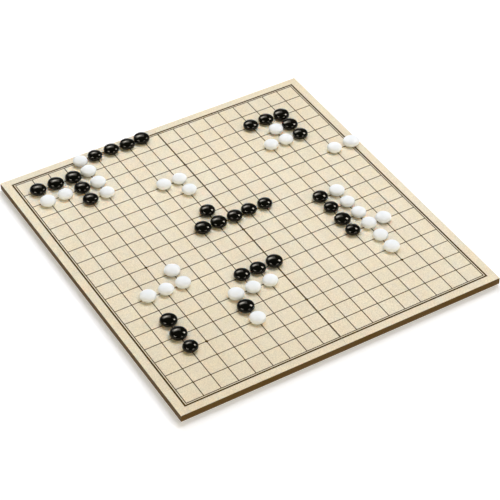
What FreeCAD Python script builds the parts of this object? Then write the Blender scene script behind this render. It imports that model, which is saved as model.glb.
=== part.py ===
import FreeCAD, Part
import os
import Sketcher

# A thin folding board for the game of go, lying open, with the stones of a game on it.
# Two equal leaves meet at a seam along Y. Two butt hinges under the seam let the right leaf
# fold down and under the left one. Millimetres, +Z up. The origin is under the middle of the
# board, at the height of the table: X runs across the seam and Y along it.

document = FreeCAD.newDocument("FoldingGoBoard")
sheet = document.addObject("Spreadsheet::Sheet", "Sizes")

# Driving dimensions.
sizes = {
    # the open board
    "board_width": 424.0,           # across the seam, both leaves
    "board_length": 454.0,          # along the seam
    "core_thickness": 8.0,
    "veneer_thickness": 0.5,        # the same on the face and on the back
    "seam_gap": 0.2,                # between the two leaves' seam edges
    "eased_edge": 0.3,              # chamfer round the face, on the three outer sides
    # the printed grid
    "side_margin": 14.0,            # board's left and right edge to the outermost line
    "end_margin": 13.7,             # board's front and back edge to the outermost line
    "line_width": 1.1,
    "seam_line_width": 0.8,         # on each leaf, beside the seam
    "border_width": 2.1,
    "border_offset": 2.7,           # outermost grid line to the border line round it
    "star_radius": 1.75,
    "ink_thickness": 0.08,
    # butt hinges, let in flush with the underside, turning about the underside's plane
    "hinge_length": 40.0,
    "hinge_inset": 57.0,            # board's front or back edge to the near end of the hinge
    "plate_width": 14.0,            # from the hinge's axis
    "plate_thickness": 0.8,
    "knuckle_radius": 1.5,
    "knuckle_gap": 0.2,             # between two knuckles along the pin
    "pin_radius": 0.7,
    "pin_clearance": 0.05,
    "barrel_clearance": 0.3,        # from the knuckles to the wood and to the other plate
    "recess_clearance": 0.15,       # from the plates to the wood round them
    "screw_pitch": 13.0,
    "screw_reach": 9.0,             # hinge's axis to the row of screws
    "screw_head_radius": 1.8,
    "screw_shank_radius": 1.0,
    "screw_length": 6.0,
    "screw_tip": 1.2,
    "screw_clearance": 0.05,        # in the plate's countersunk holes
    "drill_depth_spare": 0.4,
    "slot_length": 2.2,             # cross recess in the screw's head
    "slot_width": 0.45,
    "slot_depth": 0.45,
    # stick-on feet
    "foot_radius": 5.0,
    "foot_height": 2.0,
    "foot_round": 0.4,
    "foot_inset": 14.0,             # board's edges to the foot's centre
    # stones, sorted by the gap between two of them side by side on neighbouring points
    "small_stone_gap": 3.4,
    "middle_stone_gap": 2.4,
    "large_stone_gap": 1.2,
    "stone_rim_radius": 3.4,        # rounding all round the stone, down to the flat it stands on
    "stone_crown_rise": 1.3,        # middle of the domed top above the rounding's highest point
    "placing_spread": 1.0,          # 0 puts every stone exactly on its point
}

for row, (alias, value) in enumerate(sizes.items(), start=1):
    sheet.set(f"A{row}", alias)
    sheet.set(f"B{row}", str(value))
    sheet.setAlias(f"B{row}", alias)
document.recompute()

# A go board has 19 by 19 lines. Lines are counted from 0 at the left and at the front.
LAST_LINE = 18
MIDDLE_LINE = 9
STAR_LINES = (3, 9, 15)
KNUCKLES = 5
SCREWS_PER_PLATE = 3

# Lengths that follow from the driving dimensions, as expressions.
half_width = "Sizes.board_width / 2"
half_length = "Sizes.board_length / 2"
half_gap = "Sizes.seam_gap / 2"
column_pitch = f"((Sizes.board_width - 2 * Sizes.side_margin) / {LAST_LINE})"
row_pitch = f"((Sizes.board_length - 2 * Sizes.end_margin) / {LAST_LINE})"
underside = "Sizes.foot_height"
core_bottom = f"({underside} + Sizes.veneer_thickness)"
core_top = f"({core_bottom} + Sizes.core_thickness)"
board_top = f"({core_top} + Sizes.veneer_thickness)"
ink_top = f"({board_top} + Sizes.ink_thickness)"
hinge_centre = f"({half_length} - Sizes.hinge_inset - Sizes.hinge_length / 2)"
recess_end = f"({hinge_centre} + Sizes.hinge_length / 2 + Sizes.recess_clearance)"
recess_start = f"({hinge_centre} - Sizes.hinge_length / 2 - Sizes.recess_clearance)"
recess_depth_in_core = "(Sizes.plate_thickness - Sizes.veneer_thickness)"
barrel_reach = "(Sizes.knuckle_radius + Sizes.barrel_clearance)"
knuckle_pitch = f"(Sizes.hinge_length / {KNUCKLES})"

# Both leaves are the same piece. Each is drawn as the right leaf, with the seam at x = 0,
# and the left one is turned half round about Z.
LEAF_TURN = {"left": 180.0, "right": 0.0}

nodes = []


def bind(item, **expressions):
    for property_name, expression in expressions.items():
        item.setExpression(property_name.replace("__", "."), expression)


def place(item, x="0", y="0", z="0", turn=0.0, axis=(0, 0, 1)):
    item.Placement = FreeCAD.Placement(
        FreeCAD.Vector(0, 0, 0), FreeCAD.Rotation(FreeCAD.Vector(*axis), turn))
    bind(item, Placement__Base__x=x, Placement__Base__y=y, Placement__Base__z=z)


def finish_node(item, label):
    item.Label = label
    nodes.append(item)


def add_body(name):
    return document.addObject("PartDesign::Body", name)


def origin_plane(body, role):
    return next(plane for plane in body.Origin.OriginFeatures if plane.Role == role)


def add_sketch(body, name, role="XY_Plane"):
    sketch = body.newObject("Sketcher::SketchObject", name)
    sketch.AttachmentSupport = [(origin_plane(body, role), "")]
    sketch.MapMode = "FlatFace"
    return sketch


def constrain(sketch, kind, *arguments, expression=None):
    index = sketch.addConstraint(Sketcher.Constraint(kind, *arguments))
    if expression:
        sketch.setExpression(f"Constraints[{index}]", expression)
    return index


def add_rectangle(sketch, left, right, front, back):
    """Rectangle between two x and two y expressions."""
    corners = [FreeCAD.Vector(1, 1, 0), FreeCAD.Vector(2, 1, 0),
               FreeCAD.Vector(2, 2, 0), FreeCAD.Vector(1, 2, 0)]
    first = sketch.GeometryCount
    for start, end in zip(corners, corners[1:] + corners[:1]):
        sketch.addGeometry(Part.LineSegment(start, end), False)
    for side in range(4):
        constrain(sketch, "Coincident", first + side, 2, first + (side + 1) % 4, 1)
    for side in (0, 2):
        constrain(sketch, "Horizontal", first + side)
        constrain(sketch, "Vertical", first + side + 1)
    constrain(sketch, "DistanceX", -1, 1, first, 1, 1.0, expression=left)
    constrain(sketch, "DistanceX", -1, 1, first + 2, 1, 2.0, expression=right)
    constrain(sketch, "DistanceY", -1, 1, first, 1, 1.0, expression=front)
    constrain(sketch, "DistanceY", -1, 1, first + 2, 1, 2.0, expression=back)


def add_circle(sketch, x, y, radius):
    circle = sketch.addGeometry(Part.Circle(FreeCAD.Vector(1, 1, 0), FreeCAD.Vector(0, 0, 1), 1), False)
    constrain(sketch, "DistanceX", -1, 1, circle, 3, 1.0, expression=x)
    constrain(sketch, "DistanceY", -1, 1, circle, 3, 1.0, expression=y)
    constrain(sketch, "Radius", circle, 1.0, expression=radius)


def add_pad(body, sketch, name, length):
    pad = body.newObject("PartDesign::Pad", name)
    pad.Profile = sketch
    bind(pad, Length=length)
    document.recompute()
    return pad


def add_pocket(body, sketch, name, depth):
    """Pocket cut upwards from the body's own XY plane."""
    volume_before = body.Shape.Volume
    pocket = body.newObject("PartDesign::Pocket", name)
    pocket.Profile = sketch
    pocket.Reversed = True
    bind(pocket, Length=depth)
    document.recompute()
    if body.Shape.Volume >= volume_before:
        raise RuntimeError(f"{pocket.Name} of {body.Name} cuts nothing")
    return pocket


def add_mirror(body, name, features, role="XZ_Plane"):
    mirror = body.newObject("PartDesign::Mirrored", name)
    mirror.Originals = features
    mirror.MirrorPlane = (origin_plane(body, role), [""])
    body.Tip = mirror
    document.recompute()
    return mirror


def face_at_height(feature, height):
    """Name of the flat face whose every corner is at this height."""
    for number, face in enumerate(feature.Shape.Faces, start=1):
        if all(abs(corner.Z - height) < 1e-6 for corner in face.Vertexes):
            return f"Face{number}"
    raise RuntimeError(f"{feature.Name} has no face at {height}")


def add_box(name, x, y, z, length, width, height):
    box = document.addObject("Part::Box", name)
    bind(box, Length=length, Width=width, Height=height)
    place(box, x, y, z)
    return box


def add_cylinder(name, x, y, z, radius, height, along_y=False):
    cylinder = document.addObject("Part::Cylinder", name)
    bind(cylinder, Radius=radius, Height=height)
    if along_y:
        place(cylinder, x, y, z, turn=-90.0, axis=(1, 0, 0))
    else:
        place(cylinder, x, y, z)
    return cylinder


def add_fusion(name, pieces):
    fusion = document.addObject("Part::MultiFuse", name)
    fusion.Shapes = pieces
    fusion.Refine = True
    return fusion


def add_cut(name, base, tool):
    cut = document.addObject("Part::Cut", name)
    cut.Base = base
    cut.Tool = tool
    return cut


def add_copies(name, placings):
    """Group of separate copies of bodies, each at its own x and y."""
    copies = []
    for number, (original, x, y) in enumerate(placings, start=1):
        copy = document.addObject("App::Link", f"{name}_{number}")
        copy.LinkedObject = original
        place(copy, x, y)
        copies.append(copy)
    group = document.addObject("Part::Compound", name)
    group.Links = copies
    return group


# ---- leaves ----

def leaf_outline(body, name):
    sketch = add_sketch(body, name)
    add_rectangle(sketch, half_gap, half_width, f"-{half_length}", half_length)
    return sketch


def screw_rows():
    """y of each screw of the hinge on the +Y side, in the leaf's own frame."""
    middle = (SCREWS_PER_PLATE - 1) / 2
    return [f"({hinge_centre} + {number - middle} * Sizes.screw_pitch)"
            for number in range(SCREWS_PER_PLATE)]


def make_core(side):
    """Board with two shallow recesses for the hinge plates, deeper beside the knuckles."""
    name = f"leaf_core_{side}"
    body = add_body(name)
    add_pad(body, leaf_outline(body, f"{name}_outline"), f"{name}_board", "Sizes.core_thickness")

    plate_sketch = add_sketch(body, f"{name}_plate_sketch")
    add_rectangle(plate_sketch, half_gap, "Sizes.plate_width + Sizes.recess_clearance",
                  recess_start, recess_end)
    plate_recess = add_pocket(body, plate_sketch, f"{name}_plate_recess", recess_depth_in_core)

    barrel_sketch = add_sketch(body, f"{name}_barrel_sketch")
    add_rectangle(barrel_sketch, half_gap, barrel_reach, recess_start, recess_end)
    barrel_recess = add_pocket(body, barrel_sketch, f"{name}_barrel_recess",
                               f"{barrel_reach} - Sizes.veneer_thickness")

    pilot_sketch = add_sketch(body, f"{name}_pilot_sketch")
    for y in screw_rows():
        add_circle(pilot_sketch, "Sizes.screw_reach", y, "Sizes.screw_shank_radius")
    pilot_holes = add_pocket(body, pilot_sketch, f"{name}_pilot_holes",
                             "Sizes.screw_length - Sizes.veneer_thickness + Sizes.drill_depth_spare")

    add_mirror(body, f"{name}_second_hinge", [plate_recess, barrel_recess, pilot_holes])
    place(body, z=core_bottom, turn=LEAF_TURN[side])
    finish_node(body, name)


def make_face_veneer(side):
    name = f"face_veneer_{side}"
    body = add_body(name)
    pad = add_pad(body, leaf_outline(body, f"{name}_outline"), f"{name}_sheet", "Sizes.veneer_thickness")
    outer_top_edges = []
    for number, edge in enumerate(pad.Shape.Edges, start=1):
        box = edge.BoundBox
        if box.ZMin > sizes["veneer_thickness"] / 2 and box.XMax > sizes["seam_gap"]:
            outer_top_edges.append(f"Edge{number}")
    chamfer = body.newObject("PartDesign::Chamfer", f"{name}_eased_edge")
    chamfer.Base = (pad, outer_top_edges)
    bind(chamfer, Size="Sizes.eased_edge")
    place(body, z=core_top, turn=LEAF_TURN[side])
    finish_node(body, name)


def make_back_veneer(side):
    """Back sheet, cut right through round the two hinges."""
    name = f"back_veneer_{side}"
    body = add_body(name)
    add_pad(body, leaf_outline(body, f"{name}_outline"), f"{name}_sheet", "Sizes.veneer_thickness")
    window_sketch = add_sketch(body, f"{name}_window_sketch")
    add_rectangle(window_sketch, half_gap, "Sizes.plate_width + Sizes.recess_clearance",
                  recess_start, recess_end)
    window = add_pocket(body, window_sketch, f"{name}_hinge_window", "Sizes.veneer_thickness")
    add_mirror(body, f"{name}_second_window", [window])
    place(body, z=underside, turn=LEAF_TURN[side])
    finish_node(body, name)


# ---- printed lines ----

def make_grid_lines(side):
    """Half of the grid: lines along the seam and across it, and the star points."""
    name = f"grid_lines_{side}"
    half_line = "Sizes.line_width / 2"
    outer_column = f"{MIDDLE_LINE} * {column_pitch}"
    outer_row = f"{MIDDLE_LINE} * {row_pitch}"
    ink = "Sizes.ink_thickness"
    pieces = [add_box(f"{name}_seam", half_gap, f"-{outer_row} - {half_line}", "0",
                      "Sizes.seam_line_width", f"2 * {outer_row} + Sizes.line_width", ink)]
    for column in range(1, LAST_LINE - MIDDLE_LINE + 1):
        pieces.append(add_box(f"{name}_column_{column}", f"{column} * {column_pitch} - {half_line}",
                              f"-{outer_row} - {half_line}", "0",
                              "Sizes.line_width", f"2 * {outer_row} + Sizes.line_width", ink))
    for row in range(LAST_LINE + 1):
        pieces.append(add_box(f"{name}_row_{row}", half_gap,
                              f"{row - MIDDLE_LINE} * {row_pitch} - {half_line}", "0",
                              f"{outer_column} + {half_line} - {half_gap}", "Sizes.line_width", ink))
    for row in STAR_LINES:
        y = f"{row - MIDDLE_LINE} * {row_pitch}"
        pieces.append(add_cylinder(f"{name}_star_{row}", f"{STAR_LINES[-1] - MIDDLE_LINE} * {column_pitch}",
                                   y, "0", "Sizes.star_radius", ink))
        half_star = add_cylinder(f"{name}_seam_star_{row}", half_gap, y, "0", "Sizes.star_radius", ink)
        half_star.Angle = 180.0
        place(half_star, half_gap, y, "0", turn=-90.0)
        pieces.append(half_star)
    grid = add_fusion(name, pieces)
    place(grid, z=board_top, turn=LEAF_TURN[side])
    finish_node(grid, name)


def make_border_line(side):
    """Heavy line round the grid, open at the seam."""
    name = f"border_line_{side}"
    middle_x = f"({MIDDLE_LINE} * {column_pitch} + Sizes.border_offset)"
    middle_y = f"({MIDDLE_LINE} * {row_pitch} + Sizes.border_offset)"
    half_line = "Sizes.border_width / 2"
    body = add_body(name)
    outside = add_sketch(body, f"{name}_outside")
    add_rectangle(outside, half_gap, f"{middle_x} + {half_line}",
                  f"-{middle_y} - {half_line}", f"{middle_y} + {half_line}")
    add_pad(body, outside, f"{name}_sheet", "Sizes.ink_thickness")
    inside = add_sketch(body, f"{name}_inside")
    add_rectangle(inside, "0", f"{middle_x} - {half_line}",
                  f"-{middle_y} + {half_line}", f"{middle_y} - {half_line}")
    add_pocket(body, inside, f"{name}_opening", "Sizes.ink_thickness")
    place(body, z=board_top, turn=LEAF_TURN[side])
    finish_node(body, name)


# ---- hinges ----

def make_hinge_plate(place_name, side, own_knuckles, centre):
    """Plate on the +X side of the axis, with its own knuckles and notches for the others."""
    name = f"hinge_{place_name}_{side}_plate"
    start = "-Sizes.hinge_length / 2"
    solid_pieces = [add_box(f"{name}_flat", "0", start, "0",
                            "Sizes.plate_width", "Sizes.hinge_length", "Sizes.plate_thickness")]
    removed_pieces = [add_cylinder(f"{name}_bore", "0", f"{start} - 1", "0",
                                   "Sizes.pin_radius + Sizes.pin_clearance",
                                   "Sizes.hinge_length + 2", along_y=True)]
    for knuckle in range(KNUCKLES):
        slot_start = f"{start} + {knuckle} * {knuckle_pitch}"
        if knuckle in own_knuckles:
            solid_pieces.append(add_cylinder(f"{name}_knuckle_{knuckle}", "0",
                                             f"{slot_start} + Sizes.knuckle_gap / 2", "0",
                                             "Sizes.knuckle_radius",
                                             f"{knuckle_pitch} - Sizes.knuckle_gap", along_y=True))
        else:
            removed_pieces.append(add_box(f"{name}_notch_{knuckle}", f"-{barrel_reach}",
                                          f"{slot_start} - Sizes.knuckle_gap / 2", f"-{barrel_reach}",
                                          f"2 * {barrel_reach}", f"{knuckle_pitch} + Sizes.knuckle_gap",
                                          f"2 * {barrel_reach}"))
    middle = (SCREWS_PER_PLATE - 1) / 2
    for number in range(SCREWS_PER_PLATE):
        hole = document.addObject("Part::Cone", f"{name}_screw_hole_{number}")
        bind(hole, Radius1="Sizes.screw_head_radius + Sizes.screw_clearance",
             Radius2="Sizes.screw_shank_radius + Sizes.screw_clearance",
             Height="Sizes.plate_thickness")
        place(hole, "Sizes.screw_reach", f"{number - middle} * Sizes.screw_pitch")
        removed_pieces.append(hole)
    plate = add_cut(name, add_fusion(f"{name}_metal", solid_pieces),
                    add_fusion(f"{name}_openings", removed_pieces))
    place(plate, y=centre, z=underside, turn=LEAF_TURN[side])
    finish_node(plate, name)


def make_hinge(place_name, centre):
    make_hinge_plate(place_name, "left", (0, 2, 4), centre)
    make_hinge_plate(place_name, "right", (1, 3), centre)
    pin = add_cylinder(f"hinge_{place_name}_pin", "0", f"{centre} - Sizes.hinge_length / 2 + Sizes.knuckle_gap / 2",
                       underside, "Sizes.pin_radius", "Sizes.hinge_length - Sizes.knuckle_gap", along_y=True)
    finish_node(pin, f"hinge_{place_name}_pin")


def make_screw():
    """Countersunk screw with its head at z = 0, pointing up, threads left out."""
    body = add_body("hinge_screw")
    outline = add_sketch(body, "hinge_screw_outline", "XZ_Plane")
    head_radius = sizes["screw_head_radius"]
    shank_radius = sizes["screw_shank_radius"]
    length = sizes["screw_length"]
    corners = [FreeCAD.Vector(0, 0, 0),
               FreeCAD.Vector(head_radius, 0, 0),
               FreeCAD.Vector(shank_radius, sizes["plate_thickness"], 0),
               FreeCAD.Vector(shank_radius, length - sizes["screw_tip"], 0),
               FreeCAD.Vector(0, length, 0)]
    for start, end in zip(corners, corners[1:] + corners[:1]):
        outline.addGeometry(Part.LineSegment(start, end), False)
    for line in range(5):
        constrain(outline, "Coincident", line, 2, (line + 1) % 5, 1)
    constrain(outline, "Coincident", 0, 1, -1, 1)
    constrain(outline, "Horizontal", 0)
    constrain(outline, "Vertical", 2)
    constrain(outline, "Vertical", 4)
    constrain(outline, "DistanceX", -1, 1, 0, 2, head_radius, expression="Sizes.screw_head_radius")
    constrain(outline, "DistanceX", -1, 1, 1, 2, shank_radius, expression="Sizes.screw_shank_radius")
    constrain(outline, "DistanceY", -1, 1, 1, 2, 1.0, expression="Sizes.plate_thickness")
    constrain(outline, "DistanceY", -1, 1, 2, 2, 1.0, expression="Sizes.screw_length - Sizes.screw_tip")
    constrain(outline, "DistanceY", -1, 1, 3, 2, length, expression="Sizes.screw_length")
    turned = body.newObject("PartDesign::Revolution", "hinge_screw_turned")
    turned.Profile = outline
    turned.ReferenceAxis = (outline, ["V_Axis"])
    turned.Angle = 360.0
    document.recompute()
    for name, across, along in (("long", "Sizes.slot_length / 2", "Sizes.slot_width / 2"),
                                ("cross", "Sizes.slot_width / 2", "Sizes.slot_length / 2")):
        slot = add_sketch(body, f"hinge_screw_{name}_slot")
        add_rectangle(slot, f"-{across}", across, f"-{along}", along)
        add_pocket(body, slot, f"hinge_screw_{name}_recess", "Sizes.slot_depth")
    return body


def make_screws(side, screw):
    name = f"hinge_screws_{side}"
    placings = [(screw, "Sizes.screw_reach", f"{sign}{y}") for sign in ("", "-") for y in screw_rows()]
    screws = add_copies(name, placings)
    place(screws, z=underside, turn=LEAF_TURN[side])
    finish_node(screws, name)


# ---- feet ----

def make_foot(side, end):
    """Round stick-on bumper, rounded where it meets the table."""
    name = f"foot_{side}_{end}"
    body = add_body(name)
    outline = add_sketch(body, f"{name}_outline")
    add_circle(outline, "0", "0", "Sizes.foot_radius")
    pad = add_pad(body, outline, f"{name}_disc", "Sizes.foot_height")
    fillet = body.newObject("PartDesign::Fillet", f"{name}_round")
    fillet.Base = (pad, [face_at_height(pad, 0.0)])
    bind(fillet, Radius="Sizes.foot_round")
    reach_x = f"({half_width} - Sizes.foot_inset)"
    reach_y = f"({half_length} - Sizes.foot_inset)"
    place(body, reach_x if side == "right" else f"-{reach_x}",
          reach_y if end == "back" else f"-{reach_y}")
    finish_node(body, name)


# ---- stones ----

def make_stone(size):
    """Go stone standing on its flat underside. The rim and the domed top are arcs that run into each other."""
    name = f"{size}_stone"
    pitch = min((sizes["board_width"] - 2 * sizes["side_margin"]) / LAST_LINE,
                (sizes["board_length"] - 2 * sizes["end_margin"]) / LAST_LINE)
    radius = (pitch - sizes[f"{name}_gap"]) / 2
    rim = sizes["stone_rim_radius"]
    height = 2 * rim + sizes["stone_crown_rise"]
    radius_expression = f"(min({column_pitch}; {row_pitch}) - Sizes.{name}_gap) / 2"
    height_expression = "2 * Sizes.stone_rim_radius + Sizes.stone_crown_rise"

    # A rough outline comes first, and the constraints settle it.
    foot = FreeCAD.Vector(0, 0, 0)
    flat_end = FreeCAD.Vector(radius - rim, 0, 0)
    rim_middle = FreeCAD.Vector(radius, rim, 0)
    rim_end = FreeCAD.Vector(radius - rim / 2, rim + 0.87 * rim, 0)
    crown_middle = FreeCAD.Vector(radius / 2, height - rim / 6, 0)
    top = FreeCAD.Vector(0, height, 0)

    body = add_body(name)
    outline = add_sketch(body, f"{name}_outline", "XZ_Plane")
    flat = outline.addGeometry(Part.LineSegment(foot, flat_end), False)
    rim_arc = outline.addGeometry(Part.Arc(flat_end, rim_middle, rim_end), False)
    crown = outline.addGeometry(Part.Arc(rim_end, crown_middle, top), False)
    middle_line = outline.addGeometry(Part.LineSegment(top, foot), False)
    constrain(outline, "Coincident", flat, 1, -1, 1)
    constrain(outline, "Coincident", crown, 2, middle_line, 1)
    constrain(outline, "Coincident", middle_line, 2, flat, 1)
    constrain(outline, "Horizontal", flat)
    constrain(outline, "Vertical", middle_line)
    constrain(outline, "PointOnObject", crown, 3, -2)
    constrain(outline, "DistanceY", -1, 1, crown, 2, height, expression=height_expression)
    constrain(outline, "DistanceX", -1, 1, rim_arc, 3, radius - rim,
              expression=f"{radius_expression} - Sizes.stone_rim_radius")
    constrain(outline, "Radius", rim_arc, rim, expression="Sizes.stone_rim_radius")
    outline.solve()
    constrain(outline, "Tangent", flat, 2, rim_arc, 1)
    outline.solve()
    constrain(outline, "Tangent", rim_arc, 2, crown, 1)
    outline.solve()

    turned = body.newObject("PartDesign::Revolution", f"{name}_turned")
    turned.Profile = outline
    turned.ReferenceAxis = (outline, ["V_Axis"])
    turned.Angle = 360.0
    document.recompute()
    return body


# The game: each chain of stones of one colour joined along the lines. A chain is taken off the
# board as a whole, so it is one group of stones. The chain across the middle is two groups,
# because its stones stand on both leaves. A stone is given as the column and row of its point,
# its size, and how far to the right and to the back of the point it was put down.
CHAINS = {
    "black_chain_left_corner": [
        (1, 17, "large", -3.0, -0.7), (2, 17, "large", -1.3, -1.0), (3, 17, "large", 0.6, -1.2),
        (3, 16, "middle", 0.8, -1.2), (3, 15, "middle", -0.2, -1.8)],
    "black_chain_back_edge": [
        (5, 18, "small", -1.3, -0.7), (6, 18, "middle", -0.2, -0.3),
        (7, 18, "middle", -0.3, -1.1), (8, 18, "large", -1.2, 0.1)],
    "black_chain_right_corner": [
        (14, 16, "middle", -1.1, -0.1), (15, 16, "middle", -0.3, 0.4),
        (16, 16, "large", -0.2, -1.1), (16, 15, "large", -1.2, 0.0),
        (16, 14, "middle", -0.2, 0.1)],
    "black_chain_middle_left": [
        (8, 11, "middle", 0.5, 1.7), (7, 10, "large", 2.2, 0.8), (8, 10, "large", 1.7, 0.2)],
    "black_chain_middle_right": [
        (9, 10, "middle", 1.8, 0.0), (10, 10, "middle", 0.7, 1.9), (11, 10, "small", 0.9, 1.4)],
    "black_chain_right_side": [
        (14, 9, "middle", -0.7, 1.1), (14, 8, "small", 0.0, 1.4), (14, 7, "large", 0.0, -0.3),
        (14, 6, "small", -0.2, 0.6)],
    "black_chain_left_side": [
        (2, 5, "large", 0.6, 1.4), (2, 4, "large", -0.2, 0.6), (2, 3, "small", 1.2, -0.3)],
    "black_chain_front": [
        (7, 6, "middle", 0.3, 0.7), (8, 6, "middle", -0.3, 0.6), (9, 6, "large", 0.5, 1.1)],
    "black_stone_front": [(6, 4, "large", -1.2, -0.2)],
    "white_chain_left_edge": [(1, 16, "middle", -2.1, -2.2), (2, 16, "small", -0.4, -1.6)],
    "white_chain_left_corner": [
        (4, 18, "small", -0.1, -1.3), (4, 17, "middle", -0.1, 0.1),
        (4, 16, "middle", 0.4, -1.2), (4, 15, "small", 0.8, -0.7)],
    "white_chain_right_corner": [
        (15, 15, "small", 0.1, 0.1), (15, 14, "small", 0.2, -0.4), (14, 14, "small", 0.7, 0.1)],
    "white_chain_right_edge": [(17, 12, "small", -0.2, 1.3), (18, 12, "large", 2.8, 1.3)],
    "white_chain_back_middle": [
        (7, 14, "small", 1.1, 0.7), (8, 14, "small", 0.7, 0.4), (8, 13, "small", 1.3, -0.2)],
    "white_chain_right_side": [
        (15, 9, "middle", 0.9, 0.6), (15, 8, "small", 0.4, 0.0), (15, 7, "small", 1.3, 0.1),
        (15, 6, "small", 1.2, 1.1), (16, 6, "middle", -0.1, 0.6), (15, 5, "small", 1.0, -0.5),
        (15, 4, "middle", 1.2, -0.4)],
    "white_chain_left_side": [
        (2, 7, "middle", -0.4, 0.8), (3, 7, "small", 0.8, 0.2), (4, 7, "small", 1.1, 0.0),
        (4, 8, "middle", 0.4, 1.1)],
    "white_chain_front": [
        (6, 5, "middle", -0.3, -0.7), (7, 5, "small", 0.3, -0.8), (8, 5, "small", 1.3, -1.0)],
    "white_stone_front": [(6, 3, "middle", 0.5, 0.2)],
}


def make_chains():
    """Every stone stands on the ink of its point, a little off it as a hand leaves it."""
    stones = {size: make_stone(size) for size in ("small", "middle", "large")}
    for name, points in CHAINS.items():
        placings = []
        for column, row, size, right, back in points:
            x = f"{column - MIDDLE_LINE} * {column_pitch} + {right} * Sizes.placing_spread"
            y = f"{row - MIDDLE_LINE} * {row_pitch} + {back} * Sizes.placing_spread"
            placings.append((stones[size], x, y))
        chain = add_copies(name, placings)
        place(chain, z=ink_top)
        finish_node(chain, name)


# ---- assembly ----

for leaf_side in LEAF_TURN:
    make_core(leaf_side)
    make_face_veneer(leaf_side)
    make_back_veneer(leaf_side)
    make_grid_lines(leaf_side)
    make_border_line(leaf_side)

make_hinge("front", f"-{hinge_centre}")
make_hinge("back", hinge_centre)
hinge_screw = make_screw()
for leaf_side in LEAF_TURN:
    make_screws(leaf_side, hinge_screw)
    make_foot(leaf_side, "front")
    make_foot(leaf_side, "back")

make_chains()
document.recompute()

for item in document.Objects:
    if {"Invalid", "Error"} & set(item.State):
        raise RuntimeError(f"{item.Name} failed: {item.State}")
for node in nodes:
    if node.Shape.isNull() or not node.Shape.isValid() or not node.Shape.Solids:
        raise RuntimeError(f"{node.Label} has no sound solid")

os.makedirs("parts", exist_ok=True)
for node in nodes:
    node.Shape.exportStep(f"parts/{node.Label}.step")
    print(node.Label, len(node.Shape.Solids), round(node.Shape.Volume, 3))
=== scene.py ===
import math

import bpy
import numpy as np
from mathutils import Matrix, Vector


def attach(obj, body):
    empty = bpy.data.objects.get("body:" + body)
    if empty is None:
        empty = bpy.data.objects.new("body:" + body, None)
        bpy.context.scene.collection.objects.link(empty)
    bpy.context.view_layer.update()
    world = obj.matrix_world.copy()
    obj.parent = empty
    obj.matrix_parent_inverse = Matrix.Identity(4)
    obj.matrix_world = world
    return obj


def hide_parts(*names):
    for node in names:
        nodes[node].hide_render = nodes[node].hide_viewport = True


# Folding go board with a game in progress: the board comes from the CAD frame, the glass stones are
# worked out here, and every surface gets its finish. Sizes are in metres unless a note says otherwise.

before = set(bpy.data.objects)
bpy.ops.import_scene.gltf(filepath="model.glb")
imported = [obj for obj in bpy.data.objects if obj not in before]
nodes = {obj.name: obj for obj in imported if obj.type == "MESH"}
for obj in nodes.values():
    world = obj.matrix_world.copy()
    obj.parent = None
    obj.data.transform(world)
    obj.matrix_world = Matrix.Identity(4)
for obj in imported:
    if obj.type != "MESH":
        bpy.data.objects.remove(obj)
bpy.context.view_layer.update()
scene = bpy.context.scene
scene.view_settings.view_transform = "Standard"


cameraView = {
    "place": (-0.830872, -1.420262, 1.449715),
    "right": (0.84973802, -0.52704342, 0.01305816),
    "down": (-0.34309487, -0.57162932, -0.74533605),
    "ahead": (0.40028889, 0.62886020, -0.66656107),
    "sensor": 36.0,  # mm
    "lens": 131.675,  # mm
    "shift": -0.08954,
    "clip": (0.05, 100.0),
}


def addCamera(view):
    # a camera looks along its own -Z with +Y up, so its axes are right, minus down, minus ahead
    data = bpy.data.cameras.new("boardCamera")
    data.sensor_width = view["sensor"]
    data.lens = view["lens"]
    data.shift_x = view["shift"]
    data.clip_start, data.clip_end = view["clip"]
    camera = bpy.data.objects.new("boardCamera", data)
    scene.collection.objects.link(camera)
    axes = (Vector(view["right"]), -Vector(view["down"]), -Vector(view["ahead"]))
    turn = Matrix([[axis[row] for axis in axes] for row in range(3)])
    camera.matrix_world = Matrix.Translation(view["place"]) @ turn.to_4x4()
    scene.camera = camera


addCamera(cameraView)
print("camera set")


def addNode(tree, kind, inputs=None, **settings):
    # one shader node: settings first, then its inputs, each a plain value or another node's socket
    node = tree.nodes.new("ShaderNode" + kind)
    for name, value in settings.items():
        setattr(node, name, value)
    for name, value in (inputs or {}).items():
        if isinstance(value, bpy.types.NodeSocket):
            tree.links.new(value, node.inputs[name])
        else:
            node.inputs[name].default_value = value
    return node


def maths(tree, operation, a, b=0.0, clamp=False):
    # a plain sum, product or comparison of two values
    return addNode(tree, "Math", {0: a, 1: b}, operation=operation, use_clamp=clamp).outputs[0]


def scaled(tree, value, share):
    # value times share
    return maths(tree, "MULTIPLY", value, share)


def summed(tree, first, *others, clamp=False):
    # all the values added up, and their sum held between 0 and 1 if clamp is set
    for other in others:
        first = maths(tree, "ADD", first, other, clamp and other is others[-1])
    return first


def lessened(tree, value, other, share):
    # value less a share of another value
    return maths(tree, "SUBTRACT", value, scaled(tree, other, share))


def blended(tree, share, a, b):
    # value a times one less share, plus value b times share
    return summed(tree, scaled(tree, a, 1.0 - share), scaled(tree, b, share))


def offMiddle(tree, value):
    # how far a noise or mask is from the middle of its range
    return maths(tree, "SUBTRACT", value, 0.5)


def blendColour(tree, share, a, b, kind="MIX"):
    # colour a turning into colour b as share goes from 0 to 1
    node = addNode(tree, "Mix", {0: share, 6: a, 7: b}, data_type="RGBA", blend_type=kind)
    return node.outputs[2]


def spread(tree, value, low, high, toLow=0.0, toHigh=1.0, smooth=False):
    # value stretched from low..high to toLow..toHigh, and held there outside it
    inputs = {"Value": value, "From Min": low, "From Max": high, "To Min": toLow, "To Max": toHigh}
    kind = "SMOOTHSTEP" if smooth else "LINEAR"
    return addNode(tree, "MapRange", inputs, interpolation_type=kind).outputs["Result"]


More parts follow.
